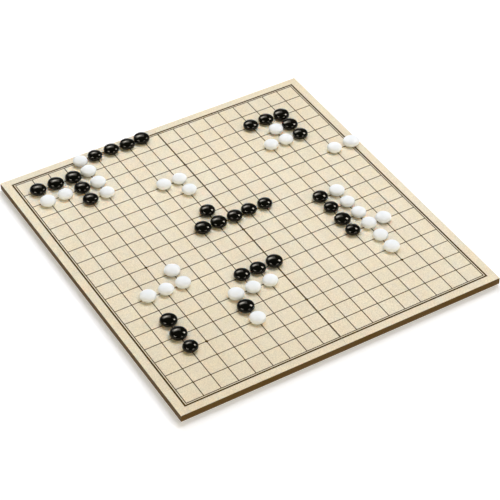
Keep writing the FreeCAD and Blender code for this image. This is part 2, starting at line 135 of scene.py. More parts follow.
def stretched(tree, vector, size):
    # coordinates divided by a pattern size, which may itself be a socket
    return addNode(tree, "VectorMath", {0: vector, 1: size}, operation="DIVIDE").outputs[0]


def noise(tree, vector, size, detail=2.0, roughness=0.5, distortion=0.0):
    # smooth noise from 0 to 1 whose features are about as large as size along each axis
    inputs = {
        "Vector": stretched(tree, vector, size), "Scale": 1.0,
        "Detail": detail, "Roughness": roughness, "Distortion": distortion,
    }
    return addNode(tree, "TexNoise", inputs).outputs["Fac"]


def objectPlace(tree):
    # a point's place on the object, in metres
    return addNode(tree, "TexCoord").outputs["Object"]


def heightOf(tree, vector):
    # the Z part of a place or a direction
    return addNode(tree, "SeparateXYZ", {0: vector}).outputs["Z"]


def newGroup(name, inputs, outputs):
    # an empty node group: coordinates and named numbers with their usual values in, named numbers out
    tree = bpy.data.node_groups.new(name, "ShaderNodeTree")
    tree.interface.new_socket("Vector", in_out="INPUT", socket_type="NodeSocketVector")
    for socketName, value in inputs.items():
        socket = tree.interface.new_socket(socketName, in_out="INPUT", socket_type="NodeSocketFloat")
        socket.default_value = value
    for socketName in outputs:
        tree.interface.new_socket(socketName, in_out="OUTPUT", socket_type="NodeSocketFloat")
    return tree, tree.nodes.new("NodeGroupInput").outputs, tree.nodes.new("NodeGroupOutput")


def useGroup(tree, group, **inputs):
    # a placed copy of a group; spaces in its socket names are left out here
    node = tree.nodes.new("ShaderNodeGroup")
    node.node_tree = group
    for socket in node.inputs:
        value = inputs.get(socket.name.replace(" ", ""))
        if isinstance(value, bpy.types.NodeSocket):
            tree.links.new(value, socket)
        elif value is not None:
            socket.default_value = value
    return node.outputs


def newFinish(name, shaderValues):
    # a material with a Principled shader, its fixed values set on the shader's own sockets
    material = bpy.data.materials.new(name)
    material.use_nodes = True
    tree = material.node_tree
    shader = tree.nodes["Principled BSDF"]
    for socketName, value in shaderValues.items():
        shader.inputs[socketName].default_value = value
    return material, tree, shader


def feedShader(tree, shader, colour, rough, height, relief):
    # colour and roughness, and bumps of relief metres from a height that runs from 0 to 1
    tree.links.new(colour, shader.inputs["Base Color"])
    tree.links.new(rough, shader.inputs["Roughness"])
    bump = addNode(tree, "Bump", {"Height": height, "Distance": relief, "Strength": 1.0})
    tree.links.new(bump.outputs["Normal"], shader.inputs["Normal"])


noiseSpan = (0.3, 0.7)  # most of a noise lies between these

fibrePattern = {
    "driftSize": (0.09, 0.22, 0.09),  # how slowly the streaks wander
    "bandLength": 18.0,  # in band widths
    "poreWidth": 0.55,  # in fibre widths, as the next
    "poreLength": 7.0,
    "poreSpan": (0.66, 0.76),  # a pore opens where its noise rises through this
}


def makeFibreGroup(pattern):
    # wood fibres along Y: noise squeezed across the grain and drawn out along it, at three sizes,
    # with a slow sideways drift so that the streaks wander as they do in a sliced sheet
    tree, given, result = newGroup(
        "woodFibre",
        {"Fibre Width": 0.0006, "Fibre Length": 0.03, "Band Width": 0.012, "Drift": 0.004},
        ["Fibre", "Band", "Pore"])

    def grainSize(width, length):
        return addNode(tree, "CombineXYZ", {"X": width, "Y": length, "Z": width}).outputs[0]

    drift = noise(tree, given["Vector"], pattern["driftSize"], detail=1.0)
    sideways = scaled(tree, offMiddle(tree, drift), given["Drift"])
    offset = addNode(tree, "CombineXYZ", {"X": sideways}).outputs[0]
    drifted = addNode(tree, "VectorMath", {0: given["Vector"], 1: offset}, operation="ADD").outputs[0]
    fineSize = grainSize(given["Fibre Width"], given["Fibre Length"])
    fine = noise(tree, drifted, fineSize, detail=3.0, roughness=0.6)
    bandSize = grainSize(given["Band Width"], scaled(tree, given["Band Width"], pattern["bandLength"]))
    band = noise(tree, drifted, bandSize, detail=2.0, roughness=0.45)
    poreSize = grainSize(
        scaled(tree, given["Fibre Width"], pattern["poreWidth"]),
        scaled(tree, given["Fibre Width"], pattern["poreLength"]))
    pore = noise(tree, drifted, poreSize, detail=1.0)
    tree.links.new(spread(tree, fine, *noiseSpan), result.inputs["Fibre"])
    tree.links.new(spread(tree, band, *noiseSpan), result.inputs["Band"])
    tree.links.new(spread(tree, pore, *pattern["poreSpan"], smooth=True), result.inputs["Pore"])
    return tree


handlingPattern = {
    "smudgeSpan": (0.32, 0.68),
    "scratchStretch": (1.0, 3.2, 1.0),  # scratches run mostly along Y
    "scratchWidth": 0.006,  # how far the noise may be from its middle in a scratch
    "patchStretch": (2.1, 1.7, 2.1),  # and come in patches
    "patchSpan": (0.5, 0.62),
    "speckSpan": (0.1, 0.2),  # a speck's core and its soft edge, in parts of a cell
    "speckLot": (0.8, 0.85),  # only the cells whose lot passes this have a speck
}


def makeHandlingGroup(pattern):
    # marks of use: cloudy smudges, hair scratches where a stretched noise crosses its middle, and
    # specks of dust in a few of the cells of a scattered pattern
    tree, given, result = newGroup(
        "handlingMarks",
        {"Smudge Size": 0.02, "Scratch Size": 0.01, "Speck Size": 0.002},
        ["Smudge", "Scratch", "Speck"])

    def sizeOf(size, ratio=(1.0, 1.0, 1.0)):
        sides = [scaled(tree, size, share) for share in ratio]
        return addNode(tree, "CombineXYZ", dict(zip("XYZ", sides))).outputs[0]

    place = given["Vector"]
    cloud = noise(tree, place, sizeOf(given["Smudge Size"]), detail=3.0, roughness=0.55, distortion=0.4)
    scratchSize = sizeOf(given["Scratch Size"], pattern["scratchStretch"])
    wander = noise(tree, place, scratchSize, detail=2.0, distortion=0.8)
    hair = spread(
        tree, maths(tree, "ABSOLUTE", offMiddle(tree, wander)), 0.0, pattern["scratchWidth"], 1.0, 0.0)
    patchy = noise(tree, place, sizeOf(given["Scratch Size"], pattern["patchStretch"]), detail=1.0)
    scratch = scaled(tree, hair, spread(tree, patchy, *pattern["patchSpan"]))
    scattered = stretched(tree, place, sizeOf(given["Speck Size"]))
    cells = addNode(tree, "TexVoronoi", {"Vector": scattered, "Scale": 1.0}).outputs
    speck = spread(tree, cells["Distance"], *pattern["speckSpan"], 1.0, 0.0, smooth=True)
    lot = addNode(tree, "SeparateColor", {0: cells["Color"]}).outputs[0]
    speck = scaled(tree, speck, spread(tree, lot, *pattern["speckLot"]))
    tree.links.new(spread(tree, cloud, *pattern["smudgeSpan"]), result.inputs["Smudge"])
    tree.links.new(scratch, result.inputs["Scratch"])
    tree.links.new(speck, result.inputs["Speck"])
    return tree


def makeRimGroup():
    # how near a point is to the board's outer sides: 1 on the side itself, 0 at Width inside it
    tree, given, result = newGroup(
        "boardRim", {"Half Width": 0.212, "Half Length": 0.227, "Width": 0.002}, ["Rim"])
    parts = addNode(tree, "SeparateXYZ", {0: given["Vector"]}).outputs
    fromSide = maths(tree, "SUBTRACT", given["Half Width"], maths(tree, "ABSOLUTE", parts["X"]))
    fromEnd = maths(tree, "SUBTRACT", given["Half Length"], maths(tree, "ABSOLUTE", parts["Y"]))
    nearest = maths(tree, "MINIMUM", fromSide, fromEnd)
    share = maths(tree, "DIVIDE", nearest, given["Width"], clamp=True)
    tree.links.new(maths(tree, "SUBTRACT", 1.0, share), result.inputs["Rim"])
    return tree


fibreGroup = makeFibreGroup(fibrePattern)
handlingGroup = makeHandlingGroup(handlingPattern)
rimGroup = makeRimGroup()
print("shared effects made")


# the sides are stained all round, over the core and over the edges of both veneers
sideStain = {
    "colour": (0.112, 0.059, 0.006, 1.0),
    "blur": 0.00003,  # the stain ends over twice this height
}

# grain of the face, which the ink printed on it shows as well
faceGrain = {"FibreWidth": 0.00075, "FibreLength": 0.035, "BandWidth": 0.013, "Drift": 0.012}


def stainSide(tree, colour, height, edge, below, above):
    # a colour under the side stain, with its share of stain below an edge height and above it
    low, high = edge - sideStain["blur"], edge + sideStain["blur"]
    share = spread(tree, height, low, high, below, above)
    return blendColour(tree, share, colour, sideStain["colour"])


veneerLook = {
    "pale": (0.868, 0.793, 0.628, 1.0),
    "warm": (0.84, 0.74, 0.558, 1.0),
    "bandShare": 0.5,  # broad bands against fine fibres
    "warmSpan": (0.2, 0.8),  # part of the grain over which the warm colour comes in
    "warmShare": (0.1, 0.75),  # least and most of it
    "pore": (0.6, 0.46, 0.28, 1.0),
    "poreShare": 0.28,
    "smudgeShare": 0.05,
    "fleckSize": (0.0007, 0.0016, 0.0007),  # short darker and paler dashes between the fibres
    "fleck": (0.86, 1.1),
    "rimWidth": 0.0025,
    "rimShare": 0.12,
    "aged": (0.945, 0.92, 0.87, 1.0),  # painted shade: a darker, yellower tint at two of the sheet's corners
    "agedWay": (-0.6, -0.8),  # points to the front left one; the other is opposite
    "agedFront": (0.0, 0.3),  # distance from the middle along that way, from no tint to all of it
    "agedBack": (-0.1, -0.3),
    "stainTop": 0.01076,  # the stain reaches this height on the leaf's side
    "stainRagged": 0.00008,  # and runs up and down the fibres by this
    "inside": 0.5,  # share of the light that goes into the wood
    "depth": 0.002,  # how far red light spreads in it; green and blue spread less
    "depthShares": (1.0, 0.5, 0.2),
    "roughness": (0.5, 0.62),
    "fibreRoughness": 0.06,
    "poreDepth": 0.8,
    "scratchDepth": 0.3,
    "relief": 0.00003,
    "marks": {"SmudgeSize": 0.06, "ScratchSize": 0.03, "SpeckSize": 0.004},
}


def makeFaceVeneer(look):
    # pale sliced wood: fibres and bands in two colours, brown pores, dashes, a warmer rim, painted
    # shade at two corners, and the side stain below the eased edge
    material, tree, shader = newFinish("paleVeneer", {
        "IOR": 1.5, "Subsurface Weight": look["inside"], "Subsurface Scale": look["depth"],
        "Subsurface Radius": look["depthShares"]})
    shader.subsurface_method = "BURLEY"
    place = objectPlace(tree)
    fibre = useGroup(tree, fibreGroup, Vector=place, **faceGrain)
    marks = useGroup(tree, handlingGroup, Vector=place, **look["marks"])
    rim = useGroup(tree, rimGroup, Vector=place, Width=look["rimWidth"])["Rim"]
    grain = blended(tree, look["bandShare"], fibre["Fibre"], fibre["Band"])
    warmth = spread(tree, grain, *look["warmSpan"], *look["warmShare"])
    colour = blendColour(tree, warmth, look["pale"], look["warm"])
    colour = blendColour(tree, scaled(tree, fibre["Pore"], look["poreShare"]), colour, look["pore"])
    colour = blendColour(tree, scaled(tree, marks["Smudge"], look["smudgeShare"]), colour, look["pore"])
    fleck = spread(tree, noise(tree, place, look["fleckSize"], detail=1.0), *noiseSpan, *look["fleck"])
    colour = blendColour(tree, 1.0, colour, fleck, kind="MULTIPLY")
    colour = blendColour(tree, scaled(tree, rim, look["rimShare"]), colour, look["warm"])
    parts = addNode(tree, "SeparateXYZ", {0: place}).outputs
    # painted shade: the sheet turns darker and yellower towards its front left corner and the opposite one
    wayX, wayY = look["agedWay"]
    along = summed(tree, scaled(tree, parts["X"], wayX), scaled(tree, parts["Y"], wayY))
    front, back = spread(tree, along, *look["agedFront"]), spread(tree, along, *look["agedBack"])
    colour = blendColour(tree, maths(tree, "MAXIMUM", front, back), colour, look["aged"], kind="MULTIPLY")
    ragged = scaled(tree, offMiddle(tree, fibre["Fibre"]), look["stainRagged"])
    colour = stainSide(tree, colour, summed(tree, parts["Z"], ragged), look["stainTop"], 1.0, 0.0)
    rough = spread(tree, marks["Smudge"], 0.0, 1.0, *look["roughness"])
    rough = summed(tree, rough, scaled(tree, fibre["Fibre"], look["fibreRoughness"]))
    height = lessened(tree, fibre["Fibre"], fibre["Pore"], look["poreDepth"])
    height = lessened(tree, height, marks["Scratch"], look["scratchDepth"])
    feedShader(tree, shader, colour, rough, height, look["relief"])
    return material


backLook = {
    "pale": (0.62, 0.49, 0.31, 1.0),
    "warm": (0.50, 0.36, 0.2, 1.0),
    "bandShare": 0.55,
    "pore": (0.30, 0.19, 0.09, 1.0),
    "poreShare": 0.5,
    "smudgeShare": 0.12,
    "stainFoot": 0.00224,  # the side's stain reaches down to this height
    "roughness": (0.5, 0.66),
    "relief": 0.00005,
    "grain": {"FibreWidth": 0.0009, "FibreLength": 0.03, "BandWidth": 0.02, "Drift": 0.02},
    "marks": {"SmudgeSize": 0.05, "ScratchSize": 0.04, "SpeckSize": 0.003},
}


def makeBackVeneer(look):
    # a plainer and browner sheet with open pores, and the side stain above its lower edge
    material, tree, shader = newFinish("plainBackVeneer", {"IOR": 1.5})
    place = objectPlace(tree)
    fibre = useGroup(tree, fibreGroup, Vector=place, **look["grain"])
    marks = useGroup(tree, handlingGroup, Vector=place, **look["marks"])
    grain = blended(tree, look["bandShare"], fibre["Fibre"], fibre["Band"])
    colour = blendColour(tree, grain, look["pale"], look["warm"])
    colour = blendColour(tree, scaled(tree, fibre["Pore"], look["poreShare"]), colour, look["pore"])
    colour = blendColour(tree, scaled(tree, marks["Smudge"], look["smudgeShare"]), colour, look["pore"])
    colour = stainSide(tree, colour, heightOf(tree, place), look["stainFoot"], 0.0, 1.0)
    rough = spread(tree, marks["Smudge"], 0.0, 1.0, *look["roughness"])
    height = maths(tree, "SUBTRACT", fibre["Fibre"], fibre["Pore"])
    feedShader(tree, shader, colour, rough, height, look["relief"])
    return material


coreLook = {
    "flakeSize": (0.0022, 0.0022, 0.0005),
    "brushSize": (0.045, 0.045, 0.0009),
    "brushShare": 0.4,  # brush strokes against flakes
    "deep": (0.064, 0.032, 0.004, 1.0),  # where the stain has soaked in
    "deepSpan": (0.35, 0.65),  # part of the flakes and strokes over which it comes in
    "deepShare": 0.55,  # most of it
    "dusty": (0.16, 0.108, 0.046, 1.0),
    "foot": 0.0025,  # lowest point of the core
    "footBand": 0.0035,  # height of the band above it that turns greyer
    "footShare": 0.3,
    "speckShare": 0.25,
    "roughness": (0.42, 0.58),
    "scratchDepth": 0.3,
    "relief": 0.00006,
    "marks": {"SmudgeSize": 0.03, "ScratchSize": 0.012, "SpeckSize": 0.0016},
}


def makeStainedCore(look):
    # pressed wood fibre under a brushed brown stain: short flakes lying flat, darker where the stain
    # has soaked in, and greyer towards the foot
    material, tree, shader = newFinish("stainedCore", {"IOR": 1.25})
    place = objectPlace(tree)
    flakes = noise(tree, place, look["flakeSize"], detail=4.0, roughness=0.6)
    brushed = noise(tree, place, look["brushSize"], detail=2.0)
    marks = useGroup(tree, handlingGroup, Vector=place, **look["marks"])
    soaked = blended(tree, look["brushShare"], flakes, brushed)
    soaked = spread(tree, soaked, *look["deepSpan"], 0.0, look["deepShare"])
    colour = blendColour(tree, soaked, sideStain["colour"], look["deep"])
    bandTop = look["foot"] + look["footBand"]
    towardsFoot = spread(tree, heightOf(tree, place), look["foot"], bandTop, 1.0, 0.0, smooth=True)
    colour = blendColour(tree, scaled(tree, towardsFoot, look["footShare"]), colour, look["dusty"])
    colour = blendColour(tree, scaled(tree, marks["Speck"], look["speckShare"]), colour, look["dusty"])
    rough = spread(tree, marks["Smudge"], 0.0, 1.0, *look["roughness"])
    height = lessened(tree, flakes, marks["Scratch"], look["scratchDepth"])
    feedShader(tree, shader, colour, rough, height, look["relief"])
    return material


inkLook = {
    "full": (0.062, 0.031, 0.004, 1.0),
    "thin": (0.165, 0.088, 0.014, 1.0),
    "fibreSpan": (0.45, 1.0),  # the fibres that are high enough to thin the ink
    "fibreShare": 0.4,
    "mottleSize": (0.0005, 0.0005, 0.0005),
    "mottleSpan": (0.5, 0.75),
    "mottleShare": 0.3,
    "smudgeShare": 0.15,
    "roughness": (0.6, 0.75),
    "relief": 0.00001,
    "marks": {"SmudgeSize": 0.045, "ScratchSize": 0.02, "SpeckSize": 0.0012},
}


def makePrintedInk(look):
    # screen printed lines: the ink is thinner over the high fibres and worn where hands pass
    material, tree, shader = newFinish("printedInk", {"IOR": 1.18})
    place = objectPlace(tree)
    fibre = useGroup(tree, fibreGroup, Vector=place, **faceGrain)
    marks = useGroup(tree, handlingGroup, Vector=place, **look["marks"])
    mottled = noise(tree, place, look["mottleSize"], detail=2.0)
    thin = summed(
        tree,
        scaled(tree, spread(tree, fibre["Fibre"], *look["fibreSpan"]), look["fibreShare"]),
        scaled(tree, spread(tree, mottled, *look["mottleSpan"]), look["mottleShare"]),
        scaled(tree, marks["Smudge"], look["smudgeShare"]), clamp=True)
    colour = blendColour(tree, thin, look["full"], look["thin"])
    rough = spread(tree, marks["Smudge"], 0.0, 1.0, *look["roughness"])
    feedShader(tree, shader, colour, rough, mottled, look["relief"])
    return material


brassLook = {
    "bright": (0.83, 0.6, 0.27, 1.0),
    "tarnish": (0.42, 0.25, 0.1, 1.0),
    "smudgeShare": 0.4,
    "speckShare": 0.35,
    "plateLines": (0.00018, 0.008, 0.00018),  # sizes of the rolling lines
    "screwLines": (0.0001, 0.002, 0.0001),
    "roughness": (0.24, 0.42),
    "lineRoughness": 0.08,
    "scratchDepth": 0.6,
    "relief": 0.000006,
    "marks": {"SmudgeSize": 0.009, "ScratchSize": 0.006, "SpeckSize": 0.0011},
}


def makeBrass(name, look, lineSize):
    # rolled brass: fine lines along Y in the relief and roughness, browner tarnish in cloudy patches
    material, tree, shader = newFinish(name, {"Metallic": 1.0})
    place = objectPlace(tree)
    lines = noise(tree, place, lineSize, detail=2.0)
    marks = useGroup(tree, handlingGroup, Vector=place, **look["marks"])
    tarnish = summed(
        tree, scaled(tree, marks["Smudge"], look["smudgeShare"]),
        scaled(tree, marks["Speck"], look["speckShare"]))
    colour = blendColour(tree, tarnish, look["bright"], look["tarnish"])
    rough = spread(tree, marks["Smudge"], 0.0, 1.0, *look["roughness"])
    rough = summed(tree, rough, scaled(tree, lines, look["lineRoughness"]))
    height = lessened(tree, lines, marks["Scratch"], look["scratchDepth"])
    feedShader(tree, shader, colour, rough, height, look["relief"])
    return material


steelLook = {
    "bright": (0.62, 0.62, 0.61, 1.0),
    "dull": (0.36, 0.34, 0.32, 1.0),
    "drawnLines": (0.00012, 0.006, 0.00012),
    "roughness": (0.22, 0.4),
    "relief": 0.000004,
    "marks": {"SmudgeSize": 0.005, "ScratchSize": 0.004, "SpeckSize": 0.001},
}


def makeSteel(look):
    # drawn wire: lines along its length and a greasy film in patches
    material, tree, shader = newFinish("drawnSteel", {"Metallic": 1.0})
    place = objectPlace(tree)
    lines = noise(tree, place, look["drawnLines"], detail=2.0)
    marks = useGroup(tree, handlingGroup, Vector=place, **look["marks"])
    colour = blendColour(tree, marks["Smudge"], look["bright"], look["dull"])
    rough = spread(tree, lines, *noiseSpan, *look["roughness"])
    feedShader(tree, shader, colour, rough, lines, look["relief"])
    return material


rubberLook = {
    "black": (0.018, 0.017, 0.016, 1.0),
    "dusty": (0.085, 0.08, 0.074, 1.0),
    "floorBand": 0.0006,  # dust gathers below this height
    "dustShare": (0.7, 0.12),  # at the floor, and above the band
    "wiped": (0.4, 1.0),  # part of the dust left in the cleanest places, and in the dustiest
    "speckShare": 0.4,
    "skinSize": (0.00025, 0.00025, 0.00025),
    "roughness": (0.62, 0.82),
    "relief": 0.00002,
    "marks": {"SmudgeSize": 0.004, "ScratchSize": 0.004, "SpeckSize": 0.0008},
}


def makeRubber(look):
    # moulded rubber with a fine spark-eroded skin and dust near the floor
    material, tree, shader = newFinish("footRubber", {"IOR": 1.5})
    place = objectPlace(tree)
    skin = noise(tree, place, look["skinSize"], detail=3.0, roughness=0.65)
    marks = useGroup(tree, handlingGroup, Vector=place, **look["marks"])
    dust = spread(tree, heightOf(tree, place), 0.0, look["floorBand"], *look["dustShare"], smooth=True)
    dust = scaled(tree, dust, spread(tree, marks["Smudge"], 0.0, 1.0, *look["wiped"]))
    dust = summed(tree, dust, scaled(tree, marks["Speck"], look["speckShare"]), clamp=True)
    colour = blendColour(tree, dust, look["black"], look["dusty"])
    rough = spread(tree, skin, *noiseSpan, *look["roughness"])
    feedShader(tree, shader, colour, rough, skin, look["relief"])
    return material


whiteGlassLook = {
    "body": (0.849, 0.886, 0.93, 1.0),
    "other": (0.84, 0.875, 0.915, 1.0),  # stones lie between the body colour and this
    "cloud": (0.87, 0.885, 0.9, 1.0),
    "cloudShare": 0.5,
    "inside": 1.0,  # share of the light that goes into the glass
    "depth": 0.005,  # how far it spreads there
    "gloss": 0.35,
    "glossTint": (1.0, 1.0, 1.0, 1.0),
    "roughness": (0.3, 0.42),
}

blackGlassLook = {
    "body": (0.0018, 0.0018, 0.0012, 1.0),
    "other": (0.0025, 0.0028, 0.002, 1.0),
    "cloud": (0.0045, 0.0035, 0.002, 1.0),
    "cloudShare": 0.6,
    "inside": 0.0,
    "depth": 0.001,
    "gloss": 0.315,
    "glossTint": (1.0, 0.93, 0.78, 1.0),
    "roughness": (0.055, 0.1),
}

# what both glasses have alike
glassPattern = {
    "otherShare": 0.7,  # most of the other colour that a stone may have
    "cloudSize": (0.006, 0.009, 0.004),
    "cloudSpan": (0.45, 0.7),
    "scratchRoughness": 0.12,
    "footRoughness": 0.4,
    "waveSize": (0.0035, 0.0035, 0.0035),
    "waveDepth": 0.9,  # share of the relief, as groundDepth
    "groundSize": (0.00018, 0.00018, 0.00018),
    "groundDepth": 0.5,
    "relief": 0.00004,
    "marks": {"SmudgeSize": 0.005, "ScratchSize": 0.004, "SpeckSize": 0.0014},
}


def makeGlass(name, look, pattern):
    # pressed opaque glass: slow clouds inside the colour, each stone a shade of its own, a faint
    # waviness from the mould, finger marks in the gloss, and a ground foot that stays matt
    material, tree, shader = newFinish(name, {
        "IOR": 1.5, "Subsurface Weight": look["inside"], "Subsurface Scale": look["depth"],
        "Subsurface Radius": (1.0, 1.0, 1.0), "Specular IOR Level": look["gloss"],
        "Specular Tint": look["glossTint"]})
    own = addNode(tree, "Attribute", attribute_name="stoneSpace").outputs["Vector"]
    tone = addNode(tree, "Attribute", attribute_name="stoneTone").outputs["Fac"]
    foot = addNode(tree, "Attribute", attribute_name="stoneFoot").outputs["Fac"]
    cloud = noise(tree, own, pattern["cloudSize"], detail=3.0, distortion=1.2)
    marks = useGroup(tree, handlingGroup, Vector=own, **pattern["marks"])
    colour = blendColour(tree, scaled(tree, tone, pattern["otherShare"]), look["body"], look["other"])
    cloudy = scaled(tree, spread(tree, cloud, *pattern["cloudSpan"]), look["cloudShare"])
    colour = blendColour(tree, cloudy, colour, look["cloud"])
    rough = summed(
        tree, spread(tree, marks["Smudge"], 0.0, 1.0, *look["roughness"]),
        scaled(tree, marks["Scratch"], pattern["scratchRoughness"]),
        scaled(tree, foot, pattern["footRoughness"]), clamp=True)
    wave = noise(tree, own, pattern["waveSize"], detail=1.0)
    ground = scaled(tree, noise(tree, own, pattern["groundSize"], detail=2.0), foot)
    height = summed(
        tree, scaled(tree, wave, pattern["waveDepth"]), scaled(tree, ground, pattern["groundDepth"]))
    feedShader(tree, shader, colour, rough, height, pattern["relief"])
    return material


finishes = {
    "leaf_core": makeStainedCore(coreLook),
    "face_veneer": makeFaceVeneer(veneerLook),
    "back_veneer": makeBackVeneer(backLook),
    "grid_lines": makePrintedInk(inkLook),
    "hinge_plate": makeBrass("hingeBrass", brassLook, brassLook["plateLines"]),
    "hinge_screws": makeBrass("screwBrass", brassLook, brassLook["screwLines"]),
    "hinge_pin": makeSteel(steelLook),
    "foot": makeRubber(rubberLook),
}
finishes["border_line"] = finishes["grid_lines"]


def finishFor(node):
    # the name of a hinge plate or pin has its place between the two words of its finish
    for word in ("plate", "pin"):
        if node.startswith("hinge_") and node.endswith(word):
            return finishes["hinge_" + word]
    return next(finish for start, finish in finishes.items() if node.startswith(start))


for node, piece in nodes.items():
    if "chain" in node or "stone" in node:
        continue
    for slot in piece.material_slots:
        slot.material = finishFor(node)
print("board, hinges and feet finished")


# first word of a chain's name, and the finish and the record's slot of its stones
glasses = {
    "white": (makeGlass("whiteGlass", whiteGlassLook, glassPattern), "white_glass"),
    "black": (makeGlass("blackGlass", blackGlassLook, glassPattern), "black_glass"),
}

stoneShape = {
    "radius": {"small": 0.0093, "middle": 0.0098, "large": 0.0104},
    "rimRadius": 0.0034,
    "crownRise": 0.0013,  # middle of the domed top above the highest point of the rounded rim
    "footLift": 0.00001,  # hair of air that keeps the foot off the printed lines
    "groundBand": 0.00025,  # the foot's matt skin fades out over this height
    "around": 56,
    "crownSteps": 14,
    "rimSteps": 18,
    "footSteps": 4,
}

stonePlaces = {
    "columnStep": 0.022,
    "rowStep": 0.0237,
    "middle": 9,
    "boardTop": 0.01108,
    "thinner": 0.03,  # most that one stone falls short of its full size, as the next two
    "narrower": 0.01,
    "oval": 0.012,
    "ovalTurn": 6.28,  # directions that an oval may take, in radians
    "glassApart": 0.4,  # two stones take their clouds from places up to this far apart
    "seed": 19,
}

# column and row of the crossing, size of the stone, and how far right and back of it the stone lies, in mm
chains = {
    "black_chain_left_corner": [
        (1, 17, "large", -3.0, -0.7), (2, 17, "large", -1.3, -1.0), (3, 17, "large", 0.6, -1.2),
        (3, 16, "middle", 0.8, -1.2), (3, 15, "middle", -0.2, -1.8)],
    "black_chain_back_edge": [
        (5, 18, "small", -1.3, -0.7), (6, 18, "middle", -0.2, -0.3),
        (7, 18, "middle", -0.3, -1.1), (8, 18, "large", -1.2, 0.1)],
    "black_chain_right_corner": [
        (14, 16, "middle", -1.1, -0.1), (15, 16, "middle", -0.3, 0.4),
        (16, 16, "large", -0.2, -1.1), (16, 15, "large", -1.2, 0.0),
        (16, 14, "middle", -0.2, 0.1)],
    "black_chain_middle_left": [
        (8, 11, "middle", 0.5, 1.7), (7, 10, "large", 2.2, 0.8), (8, 10, "large", 1.7, 0.2)],
    "black_chain_middle_right": [
        (9, 10, "middle", 1.8, 0.0), (10, 10, "middle", 0.7, 1.9), (11, 10, "small", 0.9, 1.4)],
    "black_chain_right_side": [
        (14, 9, "middle", -0.7, 1.1), (14, 8, "small", 0.0, 1.4), (14, 7, "large", 0.0, -0.3),
        (14, 6, "small", -0.2, 0.6)],
    "black_chain_left_side": [
        (2, 5, "large", 0.6, 1.4), (2, 4, "large", -0.2, 0.6), (2, 3, "small", 1.2, -0.3)],
    "black_chain_front": [
        (7, 6, "middle", 0.3, 0.7), (8, 6, "middle", -0.3, 0.6), (9, 6, "large", 0.5, 1.1)],
    "black_stone_front": [(6, 4, "large", -1.2, -0.2)],
    "white_chain_left_edge": [(1, 16, "middle", -2.1, -2.2), (2, 16, "small", -0.4, -1.6)],
    "white_chain_left_corner": [
        (4, 18, "small", -0.1, -1.3), (4, 17, "middle", -0.1, 0.1),
        (4, 16, "middle", 0.4, -1.2), (4, 15, "small", 0.8, -0.7)],
    "white_chain_right_corner": [
        (15, 15, "small", 0.1, 0.1), (15, 14, "small", 0.2, -0.4), (14, 14, "small", 0.7, 0.1)],
    "white_chain_right_edge": [(17, 12, "small", -0.2, 1.3), (18, 12, "large", 2.8, 1.3)],
    "white_chain_back_middle": [
        (7, 14, "small", 1.1, 0.7), (8, 14, "small", 0.7, 0.4), (8, 13, "small", 1.3, -0.2)],
    "white_chain_right_side": [
        (15, 9, "middle", 0.9, 0.6), (15, 8, "small", 0.4, 0.0), (15, 7, "small", 1.3, 0.1),
        (15, 6, "small", 1.2, 1.1), (16, 6, "middle", -0.1, 0.6), (15, 5, "small", 1.0, -0.5),
        (15, 4, "middle", 1.2, -0.4)],
    "white_chain_left_side": [
        (2, 7, "middle", -0.4, 0.8), (3, 7, "small", 0.8, 0.2), (4, 7, "small", 1.1, 0.0),
        (4, 8, "middle", 0.4, 1.1)],
    "white_chain_front": [
        (6, 5, "middle", -0.3, -0.7), (7, 5, "small", 0.3, -0.8), (8, 5, "small", 1.3, -1.0)],
    "white_stone_front": [(6, 3, "middle", 0.5, 0.2)],
}


def stoneProfile(shape, radius):
    # half outline from the top pole to the foot's middle: a crown arc, a rim arc that runs smoothly
    # out of it, and the flat foot. A point on an arc is the arc's centre plus its radius times
    # (sin t, cos t), where t is the angle of the surface's own direction from straight up. The crown's
    # centre lies on the axis, where its distance to the rim's centre is the crown radius less the rim
    # radius.
    rim = shape["rimRadius"]
    height = 2.0 * rim + shape["crownRise"]
    reach = radius - rim
    crownCentre = ((height - rim) ** 2 - reach ** 2 - rim ** 2) / (2.0 * (height - 2.0 * rim))
    crownRadius = height - crownCentre
    crownEnd = math.atan2(reach, rim - crownCentre)
    crownTurn = np.linspace(0.0, crownEnd, shape["crownSteps"] + 1)
    rimTurn = np.linspace(crownEnd, math.pi, shape["rimSteps"] + 1)[1:]
    footReach = np.linspace(reach, 0.0, shape["footSteps"] + 1)[1:]
    across = np.concatenate([crownRadius * np.sin(crownTurn), reach + rim * np.sin(rimTurn), footReach])
    crownUp = crownCentre + crownRadius * np.cos(crownTurn)
    rimUp = rim + rim * np.cos(rimTurn)
    up = np.concatenate([crownUp, rimUp, 0.0 * footReach])
    return across, np.maximum(up, shape["footLift"])


def lathedPoints(across, up, turn, narrowing, lowering):
    # rings of the outline between its two end points: x and y are its distance from the axis times
    # narrowing times cos and sin of the turn, and z is its height times lowering
    rings = across[1:-1, None] * narrowing
    heights = np.repeat(up[1:-1, None] * lowering, len(turn), axis=1)
    body = np.stack([rings * np.cos(turn), rings * np.sin(turn), heights], axis=2).reshape(-1, 3)
    return np.concatenate([[[0.0, 0.0, up[0] * lowering]], body, [[0.0, 0.0, 0.0]]])


def lathedFaces(rows, around):
    # faces of a closed turned form whose first and last rows are single points
    ring = np.arange(around)
    nextRing = (ring + 1) % around
    last = 1 + (rows - 2) * around
    lowest = last - around
    start = 1 + np.arange(rows - 3)[:, None] * around
    capTop = np.stack([np.zeros(around, int), 1 + ring, 1 + nextRing], axis=1)
    corners = [start + ring, start + around + ring, start + around + nextRing, start + nextRing]
    wall = np.stack(corners, axis=2).reshape(-1, 4)
    capFoot = np.stack([lowest + nextRing, lowest + ring, np.full(around, last)], axis=1)
    return capTop, wall, capFoot


def placeStone(column, row, right, back, places):
    # crossing of the two lines, plus the mm that the stone was put down right and back of it
    x = (column - places["middle"]) * places["columnStep"] + right / 1000.0
    y = (row - places["middle"]) * places["rowStep"] + back / 1000.0
    return np.array([x, y, places["boardTop"]])


